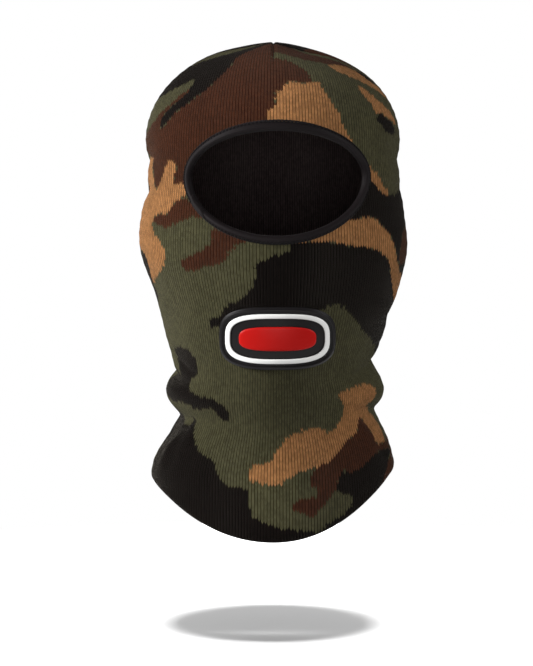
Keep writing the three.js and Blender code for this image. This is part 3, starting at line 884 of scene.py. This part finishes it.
for side, middle_angle, has_opening in (("front", 0, True), ("back", 180, False)):
    mesh = lining_panel("lining_" + side, middle_angle, has_opening)
    panel = finished_piece(
        "lining_" + side, mesh, fine_knit, [f"lining_{side}_panel"]
    )

# ---------------------------------------------------------------------------------------------
# Seams: the side seams, the crown's two darts and the hem seam are overlocked. The two cut edges lie
# flat together between the layers, and looped polyester thread runs round them.
THREAD_RADIUS = 0.22
LOOP_PITCH = 2.6
LOOP_POINTS = 14
SEAM_STEP = 2.5  # between the points of a seam
ALLOWANCE = (5.4, 0.5)  # width and thickness
ALLOWANCE_DEPTH = 3.65  # of its middle, in from the outside of the knit


def sewing_thread_material():
    """Twisted polyester: dark and nearly matt, with a fine twist along the thread."""
    material, tree = new_material("twisted_polyester_thread")
    coordinates = add_node(tree, "ShaderNodeTexCoord")
    twist = {"Vector": coordinates.outputs["Object"], "Scale": 900.0, "Distortion": 1.5}
    twist = add_node(tree, "ShaderNodeTexWave", twist, bands_direction="DIAGONAL")
    bump = add_node(tree, "ShaderNodeBump", {"Height": twist, "Distance": 0.0001})
    colour = {"Fac": twist, "Color1": linear("070505"), "Color2": linear("0F0C0D")}
    colour = add_node(tree, "ShaderNodeMixRGB", colour)
    shade(
        tree,
        {
            "Base Color": colour,
            "Roughness": 0.7,
            "Specular IOR Level": 0.1,
            "Normal": bump,
            "Sheen Weight": 0.02,
        },
    )
    return material


polyester_thread = sewing_thread_material()


def grid_faces(rows, columns, wrap_rows, wrap_columns, first=0):
    """The faces of a grid of points that may close on itself either way."""
    r = np.arange(rows if wrap_rows else rows - 1)[:, None]
    c = np.arange(columns if wrap_columns else columns - 1)[None, :]
    a, b = r * columns + c, r * columns + (c + 1) % columns
    d, e = (r + 1) % rows * columns + c, (r + 1) % rows * columns + (c + 1) % columns
    return (np.stack([a, b, e, d], -1).reshape(-1, 4) + first).tolist()


def tube(points, away, radius, closed, flat=1.0, sides=6):
    """A tube along points, wide across and flat times as thick, as its points and faces.

    away points out of the fabric at each point. An open tube ends in flat caps.
    """
    ahead = np.gradient(points, axis=0)
    if closed:
        ahead = np.roll(points, -1, 0) - np.roll(points, 1, 0)
    across = unit(np.cross(ahead, away))
    out = unit(np.cross(across, ahead))
    turn = np.arange(sides) * 2 * np.pi / sides
    radius = np.broadcast_to(radius, len(points))[:, None, None]
    section = np.cos(turn)[:, None] * across[:, None] + flat * np.sin(turn)[:, None] * out[:, None]
    rings = points[:, None] + radius * section
    faces = grid_faces(len(points), sides, closed, True)
    if not closed:
        last = (len(points) - 1) * sides
        faces += [list(range(sides))[::-1], list(range(last, last + sides))]
    return rings.reshape(-1, 3), faces


def mesh_of(name, parts):
    """One mesh of several closed bodies, each given as its points and faces."""
    points, faces = [], []
    for p, f in parts:
        first = sum(len(q) for q in points)
        points.append(p)
        faces += [[i + first for i in face] for face in f]
    mesh = bpy.data.meshes.new(name)
    mesh.from_pydata((np.concatenate(points) * MM).tolist(), [], faces)
    return mesh


def distances(points):
    """The distance along a line of points from the first to each."""
    return np.concatenate([[0], np.cumsum(np.linalg.norm(np.diff(points, axis=0), axis=1))])


def overlocked(middle, across, out, size):
    """A flat allowance along a line of points, and the thread that loops round it."""
    allowance_wide, allowance_thick = size
    band = tube(middle, out, allowance_wide / 2, False, allowance_thick / allowance_wide, 10)
    along = distances(middle)
    count = int(along[-1] / LOOP_PITCH) * LOOP_POINTS
    at = np.linspace(0, along[-1], count)
    centre, side, face = (
        np.stack([np.interp(at, along, v[:, k]) for k in range(3)], -1) for v in (middle, across, out)
    )
    turn = np.arange(count)[:, None] * 2 * np.pi / LOOP_POINTS
    wide = allowance_wide / 2 + THREAD_RADIUS
    thick = allowance_thick / 2 + THREAD_RADIUS
    loops = centre + np.cos(turn) * wide * side + np.sin(turn) * thick * face
    outward = np.cos(turn) * side * thick + np.sin(turn) * face * wide
    return [band, tube(loops, outward, THREAD_RADIUS, False)]


def seam_line(angle, low, high, depth):
    """Points up a seam, with the directions across it and out of the fabric."""
    rise = np.linspace(low, high, int((high - low) / SEAM_STEP))
    middle = surface(angle, rise, -depth)
    out = surface(angle, rise, -depth + 1) - middle
    return middle, unit(np.cross(np.gradient(middle, axis=0), out)), out


CROWN_END = 150.0  # the seams stop short of the crown, where they would meet
SEAM_START = HEM["left"] + LINING_START + 2
DART_TAIL = 12.0  # of allowance below a dart's start
for name, angle, low in (
    ("side_seam_overlock_left", np.pi / 2, SEAM_START),
    ("side_seam_overlock_right", -np.pi / 2, SEAM_START),
    ("crown_dart_overlock_front", 0.0, DART_START - DART_TAIL),
    ("crown_dart_overlock_back", np.pi, DART_START - DART_TAIL),
):
    line = seam_line(angle, low, CROWN_END, ALLOWANCE_DEPTH)
    mesh = mesh_of(name, overlocked(*line, ALLOWANCE))
    finished_piece(name.replace("overlock", "thread"), mesh, polyester_thread, [name])

HEM_ALLOWANCE = (1.9, 0.8)
HEM_ALLOWANCE_DEPTH = 4.1
ABOVE_TURN = 1.5  # from the outer layer's turned-in edge up to the hem seam
round_hem = np.linspace(0, 2 * np.pi, 240, endpoint=False)
hem_line = hem_height(round_hem) + HEM_TURN + ABOVE_TURN
middle = surface(round_hem, hem_line, -HEM_ALLOWANCE_DEPTH)
out = surface(round_hem, hem_line, 1 - HEM_ALLOWANCE_DEPTH) - middle
across = unit(np.cross(np.roll(middle, -1, 0) - np.roll(middle, 1, 0), out))
mesh = mesh_of("hem_thread", overlocked(middle, across, out, HEM_ALLOWANCE))
finished_piece("hem_thread", mesh, polyester_thread, ["hem_overlock"])

# ---------------------------------------------------------------------------------------------
# Face binding: one strip of satin fold-over elastic, folded round the raw edges of both layers. Its
# ends overlap at the wearer's right, and a zigzag of thread holds it down along its outer edge.
LAP = 5.5  # of the tape over the knit, from its fold
RIBS_PER_MM = 1.1
BINDING_STEPS = 288


def satin_elastic_material():
    """Warp-knitted satin: smooth, with a soft sheen and fine ribs that run along the tape."""
    material, tree = new_material("satin_fold_over_elastic")
    tape = add_node(tree, "ShaderNodeUVMap", uv_map="tape")
    place = add_node(tree, "ShaderNodeSeparateXYZ", {0: tape})
    turn = {0: place.outputs[1], 1: 2 * math.pi * RIBS_PER_MM}
    turn = add_node(tree, "ShaderNodeMath", turn, operation="MULTIPLY")
    rib = add_node(tree, "ShaderNodeMath", {0: turn}, operation="SINE")
    grain = add_node(tree, "ShaderNodeTexNoise", {"Vector": tape, "Scale": 1.3, "Detail": 4.0})
    height = {0: rib, 1: 0.35, 2: grain}
    height = add_node(tree, "ShaderNodeMath", height, operation="MULTIPLY_ADD")
    bump = add_node(tree, "ShaderNodeBump", {"Height": height, "Distance": 0.0001})
    colour = {"Fac": grain, "Color1": linear("0B0708"), "Color2": linear("140F10")}
    colour = add_node(tree, "ShaderNodeMixRGB", colour)
    shade(
        tree,
        {
            "Base Color": colour,
            "Roughness": 0.6,
            "Specular IOR Level": 0.09,
            "Normal": bump,
            "Sheen Weight": 0.02,
            "Sheen Roughness": 0.3,
        },
    )
    return material


satin_elastic = satin_elastic_material()


def on_face(turn, margin, out):
    """A point by its turn round the opening, its margin outside the fold and its height."""
    turn, margin, out = np.broadcast_arrays(turn, margin, out)
    return surface(*front_place(*face_edge(turn, margin)), out)


# The tape's section as margin and height: over the outside, round the fold and over the inside.
IN_FACE = -(PRESSED * (KNIT_THICK + LINING_THICK) + 2 * GAP)
TAPE_SECTION = np.array(
    [
        (LAP, 0.25), (LAP + 0.15, 0.7), (LAP - 0.2, 1.2), (LAP - 1.0, 1.45), (LAP - 2.0, 1.7),
        (LAP - 3.0, 1.75), (1.9, 1.65), (1.1, 1.2), (0.35, 0.3), (0.0, -0.8), (0.0, -1.9),
        (0.4, IN_FACE - 0.2), (1.4, IN_FACE - 0.8), (2.8, IN_FACE - 1.1), (4.4, IN_FACE - 1.0),
        (LAP, IN_FACE - 0.8), (LAP + 0.15, IN_FACE - 0.4), (LAP, IN_FACE),
        (3.6, IN_FACE + 0.05), (1.8, IN_FACE + 0.2), (1.25, IN_FACE + 0.6),
        (1.15, -1.3), (1.25, -0.4), (1.8, 0.1), (3.6, 0.22),
    ]
)  # fmt: skip
# The tape is stretched on, so it is gathered a little in groups, and its outer edge wavers.
GATHER_STEP = 0.062  # radians
GATHER_LIFT = 0.09
turns = np.linspace(0, 2 * np.pi, BINDING_STEPS, endpoint=False)[:, None]
gather = np.sin(turns * round(2 * np.pi / GATHER_STEP)) * (0.5 + 0.5 * np.sin(turns * 5 + 1))
waver = 0.18 * np.sin(turns * 7) + 0.12 * np.sin(turns * 11 + 2)
margin, height = TAPE_SECTION.T
margin = margin + waver * (margin > LAP - 3)
height = height + GATHER_LIFT * gather * np.sign(height + 2)
tape = on_face(turns, margin, height)


def tape_mesh(name, points, closed):
    """A closed band of tape, with a map of millimetres along and across it."""
    rows, columns = points.shape[:2]
    faces = [face[::-1] for face in grid_faces(rows, columns, closed, True)]
    if not closed:
        last = (rows - 1) * columns
        faces += [list(range(columns)), list(range(last, last + columns))[::-1]]
    mesh = bpy.data.meshes.new(name)
    mesh.from_pydata((points.reshape(-1, 3) * MM).tolist(), [], faces)
    along = distances(np.concatenate([points[:, 0], points[:1, 0]]))
    across = distances(np.concatenate([points[0], points[0, :1]]))
    places = []
    for face in faces:
        r, c = divmod(face[-1], columns)
        order = [(1, 0), (1, 1), (0, 1), (0, 0)] if len(face) == 4 else [(0, 0)] * len(face)
        places += [(along[r + dr], across[c + dc]) for dr, dc in order]
    mesh.uv_layers.new(name="tape").uv.foreach_set("vector", np.array(places, np.float32).ravel())
    return mesh


mesh = tape_mesh("face_binding_tape", tape, True)
finished_piece("face_binding_tape", mesh, satin_elastic, ["face_binding"])

# The join: the tape's last stretch lies over its first, cut off aslant and thinner at its ends.
JOIN_FROM, JOIN_TO = math.radians(197), math.radians(213)
JOIN_SLANT = math.radians(7)
JOIN_TAPER, JOIN_THINNED = 0.12, 0.35
JOIN_SECTION = np.array(
    [
        (LAP + 0.5, 0.5), (LAP + 0.6, 1.5), (LAP - 0.2, 2.15), (LAP - 2.4, 2.6), (2.2, 2.5),
        (1.0, 2.0), (-0.3, 0.6), (-0.6, -0.6), (-0.5, -1.6), (-0.1, -1.6), (0.1, -0.7),
        (0.5, 0.4), (1.3, 1.4), (2.4, 1.8), (LAP - 2.4, 1.9), (LAP - 0.4, 1.4),
    ]
)  # fmt: skip
steps = np.linspace(0, 1, 25)[:, None]
turn = JOIN_FROM + (JOIN_TO - JOIN_FROM) * steps + JOIN_SLANT * JOIN_SECTION[:, 0] / LAP
whole = smooth_step(0, JOIN_TAPER, steps) * smooth_step(1, 1 - JOIN_TAPER, steps)
join = on_face(turn, JOIN_SECTION[:, 0], JOIN_SECTION[:, 1] - JOIN_THINNED * (1 - whole))
mesh = tape_mesh("face_binding_join", join, False)
finished_piece("face_binding_join", mesh, satin_elastic, ["face_binding"])

# The zigzag: it dips into the knit outside the tape and crosses over the tape's edge. A flat thread
# runs along that edge under it.
ZIGZAG_STEP = 2.3
ZIGZAG_SWING = 0.95  # to either side of its middle line
ZIGZAG_CORNER = 0.98  # 1 would make its corners sharp
ZIGZAG_THREAD = 0.3
EDGE_THREAD, EDGE_FLATNESS = 0.6, 0.6
EDGE_LENGTH = 335.0
zigzags = round(EDGE_LENGTH / ZIGZAG_STEP)
turns = np.linspace(0, 2 * np.pi, zigzags * 8, endpoint=False)


def round_opening(margin, height, radius, flat):
    """A closed thread round the opening, by its margin outside the fold and its height."""
    path = on_face(turns, margin, height)
    return tube(path, on_face(turns, margin, height + 1) - path, radius, True, flat)


swing = np.arcsin(ZIGZAG_CORNER * np.sin(turns * zigzags)) / np.arcsin(ZIGZAG_CORNER)
zigzag_height = 0.95 - 0.85 * swing + 0.25 * (1 - swing**2)
zigzag = round_opening(LAP + 0.3 + ZIGZAG_SWING * swing, zigzag_height, ZIGZAG_THREAD, 1.0)
edge_margin = LAP + 0.75 + 0.12 * np.sin(turns * zigzags)
edge = round_opening(edge_margin, 0.3, EDGE_THREAD, EDGE_FLATNESS)
mesh = mesh_of("face_binding_zigzag", [zigzag, edge])
finished_piece(
    "face_binding_zigzag", mesh, polyester_thread, ["face_binding_stitching"]
)

# ---------------------------------------------------------------------------------------------
# Chin patch: soft PVC moulded in three colours and sewn to the knit, with a rounded rim, a white
# ring and a raised red bar. Each colour is poured into its own recess, so each stands a little high.
PATCH_X, PATCH_Z = 2.5, -77.5
PATCH_WIDE, PATCH_HIGH = 37.5, 21.0
SQUARENESS = 3.2  # of its outline: 2 is an oval, and more squares it up
PATCH_STEPS = 192
PVC_ROUGHNESS = 0.42


def moulded_pvc(name, hex_colour):
    """Soft PVC from a polished mould: even colour, a satin face and a faint orange peel."""
    material, tree = new_material(name)
    coordinates = add_node(tree, "ShaderNodeTexCoord")
    peel, cloud = (
        add_node(
            tree,
            "ShaderNodeTexNoise",
            {"Vector": coordinates.outputs["Object"], "Scale": scale, "Detail": 2.0},
        )
        for scale in (700.0, 60.0)
    )
    tone = add_node(tree, "ShaderNodeMath", {0: cloud, 1: 0.16, 2: 0.92}, operation="MULTIPLY_ADD")
    colour = {0: linear(hex_colour)[:3], "Scale": tone}
    colour = add_node(tree, "ShaderNodeVectorMath", colour, operation="SCALE")
    gloss = {0: peel, 1: 0.15, 2: PVC_ROUGHNESS - 0.07}
    gloss = add_node(tree, "ShaderNodeMath", gloss, operation="MULTIPLY_ADD")
    bump = add_node(tree, "ShaderNodeBump", {"Height": peel, "Distance": 0.00008})
    shade(
        tree, {"Base Color": colour, "Roughness": gloss, "Specular IOR Level": 0.12, "Normal": bump}
    )
    return material


def patch_mesh(name, section):
    """A ring of the patch's outline. Its section is a list of inset from the edge and height.

    A section that starts at the full inset closes on the patch's middle line.
    """
    turn = np.linspace(0, 2 * np.pi, PATCH_STEPS, endpoint=False)[:, None]
    inset, height = np.array(section).T
    power = 2 / SQUARENESS
    x = PATCH_X + (PATCH_WIDE - inset) * np.sign(np.cos(turn)) * np.abs(np.cos(turn)) ** power
    z = PATCH_Z + (PATCH_HIGH - inset) * np.sign(np.sin(turn)) * np.abs(np.sin(turn)) ** power
    points = surface(*front_place(x, z), np.broadcast_to(height, x.shape))
    faces = grid_faces(PATCH_STEPS, len(section), True, inset[0] != PATCH_HIGH)
    return mesh_of(name, [(points.reshape(-1, 3), faces)])


PATCH_FLOOR = 2.0  # height of the recess in the base
across_floor = [PATCH_HIGH, 18, 15, 12, 9, 6]
BASE_SECTION = (
    [(inset, PATCH_FLOOR) for inset in across_floor]
    + [(2.9, 2.0), (2.65, 2.1), (2.5, 2.8), (2.3, 3.1), (1.9, 3.25), (1.4, 3.2), (1.1, 2.95)]
    + [(1.0, 2.3), (0.8, 2.15), (0.3, 2.1), (0.05, 1.9), (0.0, 1.5), (0.0, 0.9), (0.2, 0.6)]
    + [(inset, 0.5) for inset in [2.9, *across_floor[::-1]]]
)
RING_SECTION = [
    (7.4, 2.25), (7.4, 2.8), (7.25, 3.0), (6.9, 3.1), (4.9, 3.1), (4.55, 3.0), (4.4, 2.8), (4.4, 2.25)
]  # fmt: skip
BAR_SECTION = (
    [(PATCH_HIGH, 3.45), (19.5, 3.42), (17, 3.35), (14.5, 3.25), (13.4, 3.1), (13.05, 2.8)]
    + [(13.0, 2.25), (15.0, 2.25), (18.0, 2.25), (PATCH_HIGH, 2.25)]
)
for part, section, hex_colour, colour_name in (
    ("base", BASE_SECTION, "100E0F", "black"),
    ("ring", RING_SECTION, "DADAD8", "white"),
    ("bar", BAR_SECTION, "A30C08", "red"),
):
    finished_piece(
        "chin_patch_" + part,
        patch_mesh("chin_patch_" + part, section),
        moulded_pvc("moulded_pvc_" + colour_name, hex_colour),
        ["patch_" + part],
    )

# ---------------------------------------------------------------------------------------------
# Care label: a short piece of blank woven satin, sewn inside the back of the neck by its top edge,
# so that its lower end stands a little away from the lining.
LABEL_WIDE, LABEL_HIGH, LABEL_THICK = 24.0, 26.0, 0.5
LABEL_LOW = HEM["back"] + LINING_START + 4
LABEL_DEPTH = 7.0  # in from the outside of the knit
LABEL_CURL, LABEL_WAVE, LABEL_WAVE_WIDE = 1.6, 0.25, 5.0


def woven_satin_material():
    """White woven satin: fine weft lines and a soft shine across them."""
    material, tree = new_material("woven_white_satin")
    knit = add_node(tree, "ShaderNodeUVMap", uv_map="knit")
    weft = {"Vector": knit, "Scale": 1.1}
    weft = add_node(tree, "ShaderNodeTexWave", weft, bands_direction="Y")
    bump = add_node(tree, "ShaderNodeBump", {"Height": weft, "Distance": 0.0001})
    colour = {"Fac": weft, "Color1": linear("D4D1CA"), "Color2": linear("EFEDE8")}
    colour = add_node(tree, "ShaderNodeMixRGB", colour)
    shade(tree, {"Base Color": colour, "Roughness": 0.5, "Normal": bump, "Sheen Weight": 0.2})
    return material


x = np.linspace(-LABEL_WIDE / 2, LABEL_WIDE / 2, 25)[None, :]
rise = np.linspace(0, LABEL_HIGH, 27)[:, None]
free = 1 - rise / LABEL_HIGH  # 1 at the loose lower end, 0 at the sewn one
curl = LABEL_CURL * free**2 + LABEL_WAVE * np.cos(x / LABEL_WAVE_WIDE) * free
aside = np.stack(np.broadcast_arrays(x, 0.0, 0.0 * rise), -1)
faces_of_label = [
    surface(np.pi + 0 * curl, LABEL_LOW + rise + 0 * x, -LABEL_DEPTH - curl - thick) + aside
    for thick in (LABEL_THICK, 0)
]
places = corners_of(np.stack(np.broadcast_arrays(x, rise), -1))
mesh = shell_mesh("care_label_satin", *faces_of_label, all_cells(curl), {"knit": places})
label = finished_piece(
    "care_label_satin", mesh, woven_satin_material(), ["care_label"]
)
